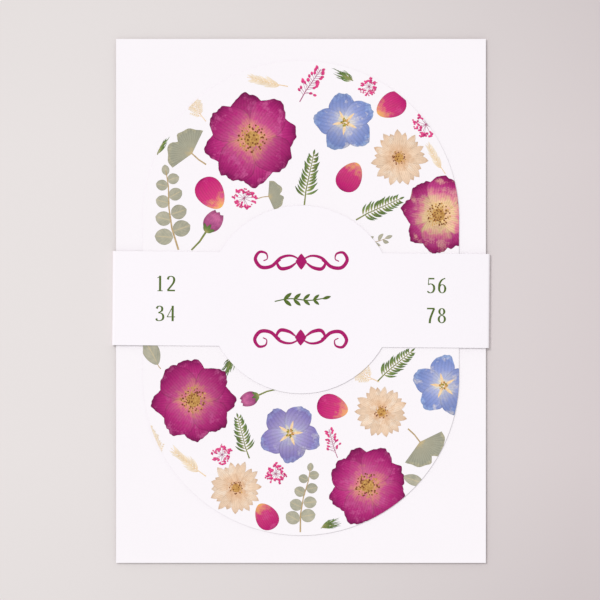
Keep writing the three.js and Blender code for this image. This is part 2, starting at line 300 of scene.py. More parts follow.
def plain_ink(name, dark, light):
    """A small printed part whose colour only varies by patches."""
    finish = Finish(name, roughness=0.8, specular=0.2)
    blotch = finish.noise(1500, detail=3)
    colour = finish.ramp(blotch, [(0.3, dark), (0.7, light)])
    finish.feed("Base Color", finish.shaded(colour, shade_attribute(finish)))
    return finish.material


inks = {
    "cosmos": petal_ink("cosmos_ink", [
        (0.0, tint(238, 176, 128)), (0.2, tint(226, 134, 138)), (0.4, tint(200, 78, 138)),
        (0.65, tint(184, 44, 122)), (0.85, tint(166, 26, 108)), (1.0, tint(138, 18, 92)),
    ], veins=13, vein_depth=0.16, rim=0.34, mottle=0.2, patch=tint(206, 92, 152)),
    "pale_cosmos": petal_ink("pale_cosmos_ink", [
        (0.0, tint(236, 196, 132)), (0.3, tint(240, 202, 158)), (0.48, tint(222, 132, 148)),
        (0.66, tint(192, 66, 134)), (0.86, tint(170, 34, 110)), (1.0, tint(142, 20, 94)),
    ], veins=13, vein_depth=0.18, rim=0.3, mottle=0.22, patch=tint(228, 168, 158)),
    "periwinkle": petal_ink("periwinkle_ink", [
        (0.0, tint(238, 230, 206)), (0.2, tint(186, 190, 218)), (0.5, tint(144, 156, 208)),
        (0.8, tint(122, 140, 198)), (1.0, tint(150, 172, 218)),
    ], veins=7, vein_depth=0.12, rim=0.24, mottle=0.14, patch=tint(222, 214, 214)),
    "violet": petal_ink("violet_petal_ink", [
        (0.0, tint(232, 226, 196)), (0.2, tint(176, 172, 210)), (0.5, tint(158, 146, 196)),
        (0.8, tint(136, 124, 186)), (1.0, tint(150, 156, 208)),
    ], veins=7, vein_depth=0.14, rim=0.28, mottle=0.16, patch=tint(190, 186, 206)),
    "daisy": petal_ink("daisy_ink", [
        (0.0, tint(206, 140, 92)), (0.25, tint(234, 190, 152)), (0.6, tint(242, 212, 184)),
        (0.9, tint(238, 206, 178)), (1.0, tint(224, 184, 148)),
    ], veins=5, vein_depth=0.14, rim=0.2, mottle=0.12, patch=tint(246, 226, 206)),
    "petal": petal_ink("loose_petal_ink", [
        (0.0, tint(250, 196, 92)), (0.2, tint(246, 166, 120)), (0.42, tint(214, 60, 126)),
        (0.8, tint(196, 30, 114)), (1.0, tint(172, 24, 106)),
    ], veins=11, vein_depth=0.16, rim=0.3, mottle=0.18, patch=tint(218, 78, 142)),
    "bud": petal_ink("bud_ink", [
        (0.0, tint(140, 60, 104)), (0.4, tint(176, 84, 136)), (0.8, tint(200, 104, 152)),
        (1.0, tint(150, 62, 112)),
    ], veins=6),
    "eucalyptus": leaf_ink(
        "eucalyptus_ink", (tint(162, 162, 144), tint(184, 179, 160)), tint(214, 196, 158),
        side_veins=5, mottle=0.12),
    "fan": petal_ink("fan_leaf_ink", [
        (0.0, tint(206, 186, 142)), (0.25, tint(174, 170, 148)), (0.85, tint(165, 164, 145)),
        (1.0, tint(184, 178, 150)),
    ], veins=21, vein_depth=0.16, rim=0.12, mottle=0.1),
    "fern": petal_ink("fern_ink", [
        (0.0, tint(176, 168, 106)), (0.4, tint(118, 138, 76)), (1.0, tint(80, 108, 56)),
    ], veins=2, vein_depth=0.2, rim=0.2, mottle=0.25),
    "grass": petal_ink("grass_ink", [
        (0.0, tint(240, 212, 172)), (0.5, tint(247, 229, 206)), (1.0, tint(249, 238, 224)),
    ], veins=2, vein_depth=0.06, rim=0.06, mottle=0.06),
    "heather": petal_ink("heather_ink", [
        (0.0, tint(176, 40, 112)), (0.4, tint(228, 62, 132)), (1.0, tint(240, 92, 150)),
    ], veins=3, vein_depth=0.15, rim=0.2),
    "stem": plain_ink("stem_ink", tint(176, 148, 104), tint(206, 180, 138)),
    "green_stem": plain_ink("green_stem_ink", tint(110, 126, 66), tint(150, 150, 84)),
    "pink_stem": plain_ink("pink_stem_ink", tint(150, 50, 104), tint(186, 84, 132)),
    "pale_stem": plain_ink("pale_stem_ink", tint(236, 196, 146), tint(246, 220, 180)),
    "ochre": plain_ink("ochre_ink", tint(176, 120, 58), tint(222, 176, 104)),
    "umber": plain_ink("umber_ink", tint(108, 58, 36), tint(152, 92, 52)),
    "olive": plain_ink("olive_ink", tint(122, 112, 44), tint(196, 176, 70)),
    "numeral": plain_ink("numeral_green", tint(80, 102, 37), tint(92, 114, 47)),
    "title": plain_ink("title_magenta", tint(166, 14, 98), tint(176, 24, 108)),
}

# Each blade lies a layer above the one before it, and the ink is a film of its own thickness.
LAYER = 3 * MICRON
FILM = 2 * MICRON

# A turn that never brings one stamen in line with another
GOLDEN_ANGLE = 2.39996


class Drawing:
    """A flat motif: blades are added one above the next, in units of the motif's reach."""

    def __init__(self, name, seed):
        self.name = name
        self.chance = random.Random(seed)
        self.mesh = bmesh.new()
        self.mesh.loops.layers.uv.new("blade")
        self.shade = self.mesh.verts.layers.float.new("shade")
        self.layer = 0
        self.slots = []

    def blade(self, ink, columns, rows, place, shade=1.0, rise=1):
        """A grid whose points go where place(across, along) says: -1 to 1, and 0 to 1."""
        if ink not in self.slots:
            self.slots.append(ink)
        self.layer += rise
        height = self.layer * LAYER
        made = bmesh.ops.create_grid(self.mesh, x_segments=columns, y_segments=rows, size=1, calc_uvs=True)
        for vertex in made["verts"]:
            across = vertex.co.x
            along = (vertex.co.y + 1) / 2
            x, y = place(across, along)
            vertex.co = (x, y, height)
            vertex[self.shade] = shade
        faces = {face for vertex in made["verts"] for face in vertex.link_faces}
        for face in faces:
            face.material_index = self.slots.index(ink)

    def finish(self, matrix, trim):
        """Puts the drawing in its place, cuts it to the sheet and makes the object."""
        mesh = self.mesh
        mesh.transform(matrix)
        bmesh.ops.remove_doubles(mesh, verts=mesh.verts, dist=0.5 * MICRON)
        trim(mesh)
        facing_down = [face for face in mesh.faces if face.normal.z < 0]
        bmesh.ops.reverse_faces(mesh, faces=facing_down)
        data = bpy.data.meshes.new(self.name)
        mesh.to_mesh(data)
        mesh.free()
        for ink in self.slots:
            data.materials.append(inks[ink])
        piece = bpy.data.objects.new(self.name, data)
        bpy.context.collection.objects.link(piece)
        film = piece.modifiers.new("film", "SOLIDIFY")
        film.thickness = FILM
        film.offset = -1
        return piece


def turned(point, angle, origin=(0, 0)):
    """The point turned about 0 and moved to the origin given."""
    x, y = point
    cosine = math.cos(angle)
    sine = math.sin(angle)
    return origin[0] + x * cosine - y * sine, origin[1] + x * sine + y * cosine


def wobble(chance, depth):
    """A wavering number: three sines whose heights and phases are left to chance."""
    terms = [(depth * chance.uniform(0.4, 1) / (1 + order), wave, chance.uniform(0, 2 * math.pi))
             for order, wave in enumerate((2, 5, 9))]
    return lambda share: sum(height * math.sin(wave * share + phase) for height, wave, phase in terms)


def blunt_petal(width, root, tip, angle, bend, ragged, crook):
    """A petal that is widest past its middle and ends in a rounded, ragged edge."""
    def place(across, along):
        half = width * math.sin(math.pi * (0.1 + 0.66 * along)) ** 0.9
        end = 1 - 0.17 * abs(across) ** 2.6 + ragged(across * 1.6)
        x = across * half * (1 + ragged(4 + along * 3) * along) + crook * math.sin(6 * along) * across ** 2
        y = root + (tip - root) * along * (1 + (end - 1) * along)
        return turned((x, y), angle - bend * y)
    return place


def pointed_blade(width, length, angle, origin=(0, 0), bend=0.0, fullness=1.0, peak=1.0):
    """A leaf or a slim petal with both ends drawn to a point."""
    def place(across, along):
        half = width * math.sin(math.pi * along ** peak) ** fullness
        x = across * half + bend * math.sin(math.pi * along)
        return turned((x, length * along), angle, origin)
    return place


def stem_line(points, half, end_half=None):
    """A thin stalk along straight runs between the points."""
    end_half = half if end_half is None else end_half
    runs = len(points) - 1

    def place(across, along):
        run = min(int(along * runs), runs - 1)
        share = along * runs - run
        start = Vector(points[run])
        end = Vector(points[run + 1])
        way = (end - start).normalized()
        at = start + (end - start) * share
        wide = half + (end_half - half) * along
        return at.x + way.y * wide * across, at.y - way.x * wide * across
    return place


def smooth_point(points, along):
    """A point on the smooth line through the points, from its start, 0, to its end, 1."""
    runs = len(points) - 1
    run = min(int(along * runs), runs - 1)
    share = along * runs - run
    before, start, end, after = [Vector(points[max(0, min(runs, run + step))]) for step in (-1, 0, 1, 2)]
    leave = (end - before) / 2
    arrive = (after - start) / 2
    ease = share * share * (3 - 2 * share)
    bend = leave * (share * (1 - share) ** 2) - arrive * (share * share * (1 - share))
    return start + (end - start) * ease + bend


def brush(points, half_at):
    """A ribbon along the smooth line, half as wide as half_at(along, way) says."""
    def place(across, along):
        at = smooth_point(points, along)
        ahead = smooth_point(points, min(1, along + 0.01))
        behind = smooth_point(points, max(0, along - 0.01))
        way = (ahead - behind).normalized()
        half = half_at(along, way) * across
        return at.x + way.y * half, at.y - way.x * half
    return place


def dot(radius, x, y):
    """A small round field, drawn as a grid drawn in to a disc."""
    def place(across, along):
        high = along * 2 - 1
        u = across * math.sqrt(1 - high * high / 2)
        v = high * math.sqrt(1 - across * across / 2)
        return x + radius * u, y + radius * v
    return place


def stamens(drawing, count, inner, outer, size, first="ochre", second="umber"):
    """Dots spread round a bloom's middle, with more of the second ink further out."""
    chance = drawing.chance
    for index in range(count):
        angle = index * GOLDEN_ANGLE + chance.uniform(-0.2, 0.2)
        share = math.sqrt((index + 0.5) / count)
        radius = (inner + (outer - inner) * share) * chance.uniform(0.92, 1.06)
        x, y = turned((0, radius), angle)
        ink = second if chance.random() < 0.35 + 0.3 * share else first
        place = dot(size * chance.uniform(0.7, 1.25), x, y)
        drawing.blade(ink, 3, 3, place, chance.uniform(0.85, 1.15), 0.06)


def draw_cosmos(drawing, ink="cosmos"):
    """Every other petal is drawn first, and the rest lie over them."""
    chance = drawing.chance
    petals = 8
    for order in (*range(0, petals, 2), *range(1, petals, 2)):
        angle = 2 * math.pi * order / petals + chance.uniform(-0.07, 0.07)
        tip = chance.uniform(0.92, 1.0)
        width = chance.uniform(0.37, 0.42)
        bend = chance.uniform(-0.07, 0.07)
        place = blunt_petal(width, 0.08, tip, angle, bend, wobble(chance, 0.045), 0.03)
        drawing.blade(ink, 18, 14, place, chance.uniform(0.84, 1.1))
    drawing.blade("ochre", 8, 8, dot(0.16, 0, 0), 0.9)
    stamens(drawing, 90, 0.02, 0.3, 0.02)


def draw_periwinkle(drawing, ink="periwinkle"):
    chance = drawing.chance
    petals = 5
    for order in range(petals):
        angle = 2 * math.pi * order / petals + chance.uniform(-0.06, 0.06)
        width = chance.uniform(0.38, 0.44)
        tip = chance.uniform(0.92, 1)
        place = blunt_petal(width, 0.04, tip, angle, 0.22, wobble(chance, 0.035), 0.02)
        drawing.blade(ink, 16, 12, place, chance.uniform(0.9, 1.08))
    for order in range(petals):
        angle = 2 * math.pi * (order + 0.1) / petals
        drawing.blade("pale_stem", 2, 6, pointed_blade(0.045, 0.42, angle), 1.05, 0.4)
    stamens(drawing, 16, 0.02, 0.13, 0.03, "olive", "ochre")


def draw_daisy(drawing):
    chance = drawing.chance
    petals = 11
    for offset, reach in ((0.5, 0.9), (0.0, 1.0)):
        for order in range(petals):
            angle = 2 * math.pi * (order + offset) / petals + chance.uniform(-0.06, 0.06)
            tip = reach * chance.uniform(0.9, 1.0)
            width = chance.uniform(0.13, 0.17)
            place = pointed_blade(width, tip, angle, (0, 0), chance.uniform(-0.04, 0.04), 0.7, 1.25)
            drawing.blade("daisy", 6, 10, place, chance.uniform(0.93, 1.04) - 0.05 * offset, 0.5)
    drawing.blade("ochre", 8, 8, dot(0.15, 0, 0), 1.0)
    stamens(drawing, 34, 0.02, 0.24, 0.024)


def draw_eucalyptus(drawing):
    chance = drawing.chance
    spine = [(0.1, -1), (0.0, -0.5), (-0.02, 0.0), (0.02, 0.5), (0, 0.88)]
    pairs = 4
    for pair in range(pairs):
        y = -0.68 + 0.4 * pair
        length = 0.44 - 0.05 * pair
        for side in (-1, 1):
            foot = (0.01, y + (0.14 if side > 0 else 0) - 0.02)
            angle = -side * chance.uniform(1.15, 1.4)
            place = pointed_blade(length * 0.44, length, angle, foot, 0, 0.55, 0.95)
            drawing.blade("eucalyptus", 8, 10, place, chance.uniform(0.9, 1.08))
    drawing.blade("eucalyptus", 6, 8, pointed_blade(0.09, 0.26, 0.05, (0, 0.76), 0, 0.6), 1.02)
    drawing.blade("stem", 2, 16, stem_line(spine, 0.022, 0.01), 1.0)


def draw_fan_leaf(drawing):
    def place(across, along):
        angle = -across * 1.32
        rim = 1.12 - 0.28 * math.exp(-(across * 9) ** 2) + 0.03 * math.sin(across * 14)
        radius = 0.03 + (rim - 0.03) * along
        return radius * math.sin(-angle), -0.2 + radius * math.cos(angle)
    drawing.blade("fan", 30, 12, place, 1.0)
    drawing.blade("stem", 2, 6, stem_line([(0.03, -1), (-0.02, -0.6), (0, -0.16)], 0.035, 0.03), 0.98)


def draw_fern(drawing):
    chance = drawing.chance
    pairs = 13
    for pair in range(pairs):
        y = -0.66 + 1.5 * pair / pairs
        length = 0.5 * (1 - 0.62 * (pair / pairs) ** 1.4) * chance.uniform(0.85, 1.1)
        for side in (-1, 1):
            angle = -side * chance.uniform(0.72, 0.98)
            foot = (0, y + 0.03 * side)
            place = pointed_blade(0.042, length, angle, foot, 0.05 * side, 0.8, 0.9)
            drawing.blade("fern", 2, 5, place, chance.uniform(0.8, 1.2), 0.25)
    drawing.blade("fern", 2, 5, pointed_blade(0.04, 0.24, 0, (0, 0.76)), 1.0, 0.25)
    drawing.blade("green_stem", 2, 10, stem_line([(0.05, -1), (0, -0.5), (0, 0.85)], 0.028, 0.012), 1.0)


def draw_grass(drawing):
    chance = drawing.chance
    pairs = 9
    for pair in range(pairs):
        y = -0.6 + 1.3 * pair / pairs
        length = 0.55 * (1 - 0.4 * pair / pairs) * chance.uniform(0.85, 1.1)
        for side in (-1, 1):
            angle = -side * chance.uniform(0.3, 0.55)
            place = pointed_blade(0.05, length, angle, (0, y + 0.03 * side), 0.02 * side, 0.8, 0.7)
            drawing.blade("grass", 2, 6, place, chance.uniform(0.93, 1.04), 0.3)
    drawing.blade("pale_stem", 2, 8, stem_line([(0.04, -1), (0, -0.4), (0, 0.9)], 0.022, 0.008), 1.0)


def draw_heather(drawing):
    chance = drawing.chance
    drawing.blade("pink_stem", 2, 10, stem_line([(0.06, -1), (0, -0.4), (0, 0.9)], 0.026, 0.012), 1.0)
    count = 26
    for index in range(count):
        share = index / count
        y = -0.62 + 1.5 * share
        side = 1 if index % 2 else -1
        reach = 0.42 * (1 - 0.7 * share) * chance.uniform(0.45, 1.1)
        angle = -side * chance.uniform(0.7, 1.3)
        x, high = turned((0, reach), angle, (0, y))
        drawing.blade("pink_stem", 1, 2, stem_line([(0, y), (x, high)], 0.01), 1.0, 0.1)
        place = pointed_blade(0.065, 0.2, angle * 0.8 + chance.uniform(-0.3, 0.3), (x, high - 0.03), 0, 0.6)
        drawing.blade("heather", 3, 5, place, chance.uniform(0.86, 1.12), 0.2)


def draw_petal(drawing):
    def place(across, along):
        angle = math.pi * along
        half = 0.78 * math.sin(angle) * (1 - 0.22 * math.cos(angle))
        return across * half, -math.cos(angle) * (1 - 0.1 * (1 - across ** 2) * along ** 6)
    drawing.blade("petal", 12, 16, place, drawing.chance.uniform(0.94, 1.06))


def draw_bud(drawing):
    chance = drawing.chance
    drawing.blade("green_stem", 2, 8, stem_line([(-0.06, -1), (0.02, -0.5), (0, 0.05)], 0.035, 0.045), 1.0)
    for angle, shade in ((0.42, 0.86), (-0.42, 0.92), (0.0, 1.06)):
        place = pointed_blade(0.3, 1.0, angle * 0.55, (0.05 * angle, 0), 0, 0.75, 0.85)
        drawing.blade("bud", 8, 10, place, shade * chance.uniform(0.97, 1.03))
    for angle in (0.75, -0.75, 0.0):
        place = pointed_blade(0.085, 0.4, angle, (0, -0.03), 0, 0.8, 0.8)
        drawing.blade("fern", 3, 6, place, chance.uniform(0.9, 1.1), 0.5)


def draw_umbel(drawing):
    """A head of tiny blooms on threads that spread from one point."""
    chance = drawing.chance
    rays = 13
    for ray in range(rays):
        angle = 2 * math.pi * ray / rays + chance.uniform(-0.15, 0.15)
        reach = chance.uniform(0.5, 0.82)
        head = turned((0, reach), angle)
        drawing.blade("pink_stem", 1, 3, stem_line([(0, 0), head], 0.014), 1.0, 0.1)
        for _ in range(8):
            x, y = turned((0, chance.uniform(0.04, 0.22)), chance.uniform(0, 2 * math.pi), head)
            place = dot(chance.uniform(0.05, 0.1), x, y)
            drawing.blade("heather", 3, 3, place, chance.uniform(0.85, 1.15), 0.1)


def draw_plume(drawing):
    """A feathery bleached spray whose side shoots carry fine barbs."""
    chance = drawing.chance
    pairs = 9
    for pair in range(pairs):
        y = -0.62 + 1.4 * pair / pairs
        length = 0.62 * (1 - 0.62 * (pair / pairs) ** 1.3) * chance.uniform(0.85, 1.1)
        for side in (-1, 1):
            angle = -side * chance.uniform(0.62, 0.86)
            foot = (0, y + 0.04 * side)
            tip = turned((0, length), angle, foot)
            drawing.blade("pale_stem", 1, 4, stem_line([foot, tip], 0.013, 0.005), 1.0, 0.1)
            for step in range(1, 6):
                barb = turned((0, length * step / 5.5), angle, foot)
                for lean in (-0.55, 0.55):
                    place = pointed_blade(0.026, 0.2 * (1.15 - step / 7), angle + lean, barb, 0, 0.8)
                    drawing.blade("grass", 2, 4, place, chance.uniform(0.92, 1.02), 0.1)
    drawing.blade("pale_stem", 2, 10, stem_line([(0.08, -1), (0, -0.45), (0, 0.86)], 0.02, 0.007), 1.0)


def draw_tuft(drawing):
    """A bunch of needles that fans out from its foot."""
    chance = drawing.chance
    count = 34
    for index in range(count):
        lean = (index / (count - 1) - 0.5) * 0.9 + chance.uniform(-0.08, 0.08)
        foot = (0.05 * lean, -0.95 + 0.7 * chance.random() ** 2)
        length = chance.uniform(0.75, 1.15) * (1.25 - abs(lean))
        place = pointed_blade(0.035, length, -lean, foot, chance.uniform(-0.12, 0.12), 0.8, 0.9)
        drawing.blade("fern", 2, 7, place, chance.uniform(0.7, 1.35), 0.15)
    drawing.blade("green_stem", 2, 6, stem_line([(0.03, -1), (0, -0.7), (0, -0.3)], 0.035, 0.015), 0.9)


def draw_olive_sprig(drawing):
    """A bent twig with slim leaves to both sides."""
    chance = drawing.chance
    spine = [(-0.3, -1), (-0.08, -0.55), (0.05, -0.1), (0.1, 0.35), (0.06, 0.7)]
    for index in range(1, 8):
        along = index / 8
        foot = smooth_point(spine, along)
        side = 1 if index % 2 else -1
        length = 0.5 * (1 - 0.35 * along) * chance.uniform(0.85, 1.1)
        angle = -side * chance.uniform(0.6, 0.95)
        place = pointed_blade(0.085, length, angle, (foot.x, foot.y), 0.04 * side, 0.7)
        drawing.blade("eucalyptus", 6, 10, place, chance.uniform(0.82, 1.05))
    drawing.blade("eucalyptus", 6, 10, pointed_blade(0.08, 0.36, 0.1, (0.06, 0.66), 0, 0.7), 0.98)
    drawing.blade("stem", 2, 20, brush(spine, lambda along, way: 0.022 - 0.012 * along), 0.9)


def draw_oval_leaf(drawing):
    """One broad leaf on a short stalk."""
    chance = drawing.chance
    place = pointed_blade(0.44, 1.75, 0, (0, -0.75), chance.uniform(-0.08, 0.08), 0.72, 0.92)
    drawing.blade("eucalyptus", 14, 22, place, chance.uniform(0.9, 1.02))
    drawing.blade("stem", 2, 6, stem_line([(0.03, -1), (0, -0.86), (0, -0.7)], 0.026, 0.02), 1.0)


def draw_violet(drawing):
    draw_periwinkle(drawing, "violet")


def draw_pale_cosmos(drawing):
    draw_cosmos(drawing, "pale_cosmos")


# Each kind of motif: how it is drawn, and its ink's slot
KINDS = {
    "cosmos": (draw_cosmos, "magenta_ink"),
    "paleCosmos": (draw_pale_cosmos, "magenta_ink"),
    "periwinkle": (draw_periwinkle, "violet_ink"),
    "violet": (draw_violet, "violet_ink"),
    "daisy": (draw_daisy, "peach_ink"),
    "eucalyptus": (draw_eucalyptus, "sage_ink"),
    "oliveSprig": (draw_olive_sprig, "sage_ink"),
    "ovalLeaf": (draw_oval_leaf, "sage_ink"),
    "fanLeaf": (draw_fan_leaf, "sage_ink"),
    "fern": (draw_fern, "green_ink"),
    "tuft": (draw_tuft, "green_ink"),
    "grass": (draw_grass, "cream_ink"),
    "plume": (draw_plume, "cream_ink"),
    "heather": (draw_heather, "rose_ink"),
    "umbel": (draw_umbel, "rose_ink"),
    "petal": (draw_petal, "rose_ink"),
    "bud": (draw_bud, "mauve_ink"),
}

# Where the motifs lie on the flower card: percent of its half width and half height from its
# middle, size in percent of its half width, turn in degrees. A motif that the solids have too keeps
# its node's name and place, and the others are in the scene alone.
FLOWER_PRINT = [
    ("cosmos_1", "cosmos", -31, 67, 30, 10),
    ("cosmos_2", "paleCosmos", 87, 35, 25, 35),
    ("periwinkle_1", "periwinkle", 28, 74, 20, 20),
    ("daisy_1", "daisy", 62, 59, 19, 0),
    ("eucalyptus_1", "eucalyptus", -83, 38, 27, 6),
    ("fan_leaf_1", "fanLeaf", -71, 62, 14, 50),
    ("fern_1", "fern", 5, 51, 18, -12),
    ("fern_2", "fern", 50, 38, 17, -66),
    ("heather_1", "heather", 6, 90, 13, -35),
    ("grass_1", "grass", -22, 91, 14, 76),
    ("grass_2", "grass", 85, 59, 12, 30),
    ("loose_petal_1", "petal", -57, 44, 11, 35),
    ("loose_petal_2", "petal", 57, 81, 10, -60),
    ("loose_petal_3", "petal", 31, 51, 10, 150),
    ("bud_1", "bud", -60, 28, 15, -35),
    ("fan_leaf_2", "fanLeaf", -19, 43, 9, -80),
    ("cosmos_3", "cosmos", -68, -43, 27, 0),
    ("cosmos_4", "cosmos", 42, -79, 26, 20),
    ("periwinkle_2", "violet", -7, -57, 20, 50),
    ("periwinkle_3", "periwinkle", 90, -37, 20, 5),
    ("daisy_2", "daisy", -41, -80, 18, 12),
    ("daisy_3", "daisy", 51, -48, 18, 25),
    ("eucalyptus_2", "eucalyptus", 2, -84, 22, -12),
    ("fan_leaf_3", "fanLeaf", 77, -62, 14, -140),
    ("fern_3", "fern", -37, -58, 15, 14),
    ("fern_4", "fern", 60, -28, 16, -50),
    ("loose_petal_4", "petal", 20, -46, 10, 75),
    ("loose_petal_5", "petal", -22, -92, 9, -150),
    ("heather_2", "heather", 20, -61, 10, 15),
    ("grass_3", "grass", -72, -69, 15, 50),
    ("bud_2", "bud", -27, -41, 12, 112),
    ("eucalyptus_3", "eucalyptus", -31, 8, 28, 70),
    ("daisy_4", "daisy", 27, -16, 18, 0),
    ("periwinkle_4", "periwinkle", -78, 1, 19, 30),
    ("fan_leaf_4", "fanLeaf", 74, -1, 15, 25),
    ("loose_petal_6", "petal", 16, 20, 10, 110),
    ("heather_3", "heather", -27, -19, 13, 60),
    ("umbel_1", "umbel", -36, 42, 8, 20),
    ("umbel_2", "umbel", 79, 73, 9, 40),
    ("umbel_3", "umbel", -16, -74, 8, 10),
    ("umbel_4", "umbel", -50, -66, 7, 30),
    ("umbel_5", "umbel", 43, 89, 7, 50),
    ("plume_1", "plume", -67, 81, 12, 30),
    ("plume_2", "plume", -93, -62, 13, 20),
    ("plume_3", "plume", 37, -31, 14, 58),
    ("tuft_1", "tuft", 26, 94, 8, 60),
    ("tuft_2", "tuft", -88, 66, 9, -20),
    ("tuft_3", "tuft", 20, -95, 8, -70),
    ("tuft_4", "tuft", -46, -29, 9, 150),
    ("olive_sprig_1", "oliveSprig", 44, 24, 14, -75),
    ("oval_leaf_1", "ovalLeaf", -95, -23, 12, 30),
    ("oval_leaf_2", "ovalLeaf", 72, -77, 8, 70),
    ("violet_1", "violet", 47, 3, 15, 10),
    ("umbel_6", "umbel", -2, -13, 9, 0),
    ("tuft_5", "tuft", -52, -14, 11, -60),
]

flower_low, flower_high = corners("flower_card")
flower_middle = box_middle("flower_card")
half_width = (flower_high.x - flower_low.x) / 2
half_height = (flower_high.y - flower_low.y) / 2


def trim_to_flower_card(mesh):
    """Cuts a drawing along the card's outline: two straight sides, and tangents to its round ends."""
    straight = half_height - half_width
    step = 3
    for degrees in range(0, 360, step):
        angle = math.radians(degrees)
        outward = Vector((math.cos(angle), math.sin(angle), 0))
        end = Vector((0, straight if degrees <= 180 else -straight, 0))
        edge = Vector((flower_middle.x, flower_middle.y, 0)) + end + outward * half_width
        if not any((vertex.co - edge).dot(outward) > 0 for vertex in mesh.verts):
            continue
        geometry = list(mesh.verts) + list(mesh.edges) + list(mesh.faces)
        bmesh.ops.bisect_plane(
            mesh, geom=geometry, dist=MICRON / 10, plane_co=edge, plane_no=outward, clear_outer=True)


FIRST_SEED = 100


def print_flowers():
    unit = half_width / 100
    nodes = {row["node"] for row in frame["record"]["subparts"]}
    for index, (node, kind, across, up, size, turn) in enumerate(FLOWER_PRINT):
        draw, slot = KINDS[kind]
        drawing = Drawing(node + "_print", FIRST_SEED + index)
        draw(drawing)
        x = flower_middle.x + across / 100 * half_width
        y = flower_middle.y + up / 100 * half_height
        place = Matrix.Translation((x, y, flower_high.z)) @ Matrix.Rotation(math.radians(turn), 4, "Z")
        fit = Matrix.Diagonal((size * unit, size * unit, 1, 1))
        piece = drawing.finish(place @ fit, trim_to_flower_card)
        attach(piece, "cards")
        replaced = [name for name in (node, node + "_eye") if name in nodes]
        if replaced:
            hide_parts(*replaced)


print_flowers()


# Print on the band: the solids' numerals and scrolls with smooth pen strokes

PEN_HALF = 0.07
HAIR_HALF = 0.026


def pen_half(along, way):
    """Upright strokes are thick and level ones thin, as with a broad pen."""
    return HAIR_HALF + (PEN_HALF - HAIR_HALF) * abs(way.y) ** 1.5


def ring(x, y, radius_x, radius_y):
    def place(across, along):
        angle = 2 * math.pi * along
        wide = radius_x + across * PEN_HALF
        high = radius_y + across * HAIR_HALF
        return x + wide * math.cos(angle), y + high * math.sin(angle)
    return place


# Each numeral is one unit tall. A pen line's numbers are its points, a bar's its two ends and half
# its width, a ring's its middle and radii.
NUMERALS = {
    1: [("bar", 0.3, 0, 0.3, 1, PEN_HALF), ("bar", 0.13, 0.86, 0.32, 0.97, HAIR_HALF),
        ("bar", 0.13, 0.025, 0.47, 0.025, HAIR_HALF)],
    2: [("pen", (0.08, 0.76), (0.14, 0.92), (0.3, 0.97), (0.45, 0.89), (0.49, 0.71), (0.4, 0.48),
         (0.07, 0.06)),
        ("bar", 0.05, 0.05, 0.55, 0.05, 0.05)],
    3: [("pen", (0.09, 0.81), (0.17, 0.94), (0.31, 0.97), (0.44, 0.87), (0.42, 0.67), (0.2, 0.54)),
        ("pen", (0.2, 0.54), (0.42, 0.49), (0.52, 0.33), (0.48, 0.12), (0.3, 0.03), (0.13, 0.05),
         (0.07, 0.17))],
    4: [("bar", 0.42, 0.98, 0.06, 0.28, HAIR_HALF), ("bar", 0.03, 0.28, 0.57, 0.28, HAIR_HALF),
        ("bar", 0.41, 0, 0.41, 1, PEN_HALF)],
    5: [("bar", 0.13, 0.95, 0.52, 0.95, 0.05), ("bar", 0.16, 0.97, 0.13, 0.55, HAIR_HALF),
        ("pen", (0.13, 0.56), (0.3, 0.61), (0.46, 0.51), (0.51, 0.3), (0.42, 0.09), (0.24, 0.03),
         (0.07, 0.13))],
    6: [("ring", 0.31, 0.3, 0.2, 0.27), ("pen", (0.11, 0.32), (0.14, 0.62), (0.28, 0.86), (0.5, 0.98))],
    7: [("bar", 0.06, 0.95, 0.55, 0.95, 0.05), ("pen", (0.52, 0.95), (0.38, 0.6), (0.27, 0.28), (0.24, 0))],
    8: [("ring", 0.3, 0.76, 0.16, 0.2), ("ring", 0.3, 0.27, 0.2, 0.24)],
}


def draw_numeral(number):
    def draw(drawing):
        for kind, *numbers in NUMERALS[number]:
            if kind == "pen":
                drawing.blade("numeral", 2, 40, brush(numbers, pen_half))
            elif kind == "ring":
                drawing.blade("numeral", 2, 40, ring(*numbers))
            else:
                x0, y0, x1, y1, half = numbers
                drawing.blade("numeral", 2, 4, brush([(x0, y0), (x1, y1)], lambda along, way: half))
    return draw


SCROLL = [(0, 0.02), (0.2, 0.12), (0.42, 0.08), (0.62, -0.1), (0.84, -0.12), (0.96, 0.04), (0.88, 0.19),
          (0.74, 0.17), (0.71, 0.06), (0.79, 0.01)]
TENDRIL = [(0.1, -0.02), (0.24, -0.12), (0.42, -0.15), (0.5, -0.04), (0.43, 0.03)]


def draw_flourish(up):
    """A pair of scrolls that swell and curl away from a lozenge; `up` is -1 where it is upside down."""
    def swell(along, way):
        return 0.012 + 0.026 * math.sin(math.pi * min(1, along * 1.15))

    def draw(drawing):
        for side in (1, -1):
            for line, rows in ((SCROLL, 90), (TENDRIL, 40)):
                points = [(x * side * up, y * up) for x, y in line]
                drawing.blade("title", 2, rows, brush(points, swell))
        lozenge = brush([(0, -0.17), (0, 0.17)], lambda along, way: 0.12 * (1 - abs(2 * along - 1)))
        drawing.blade("title", 2, 8, lozenge)
    return draw


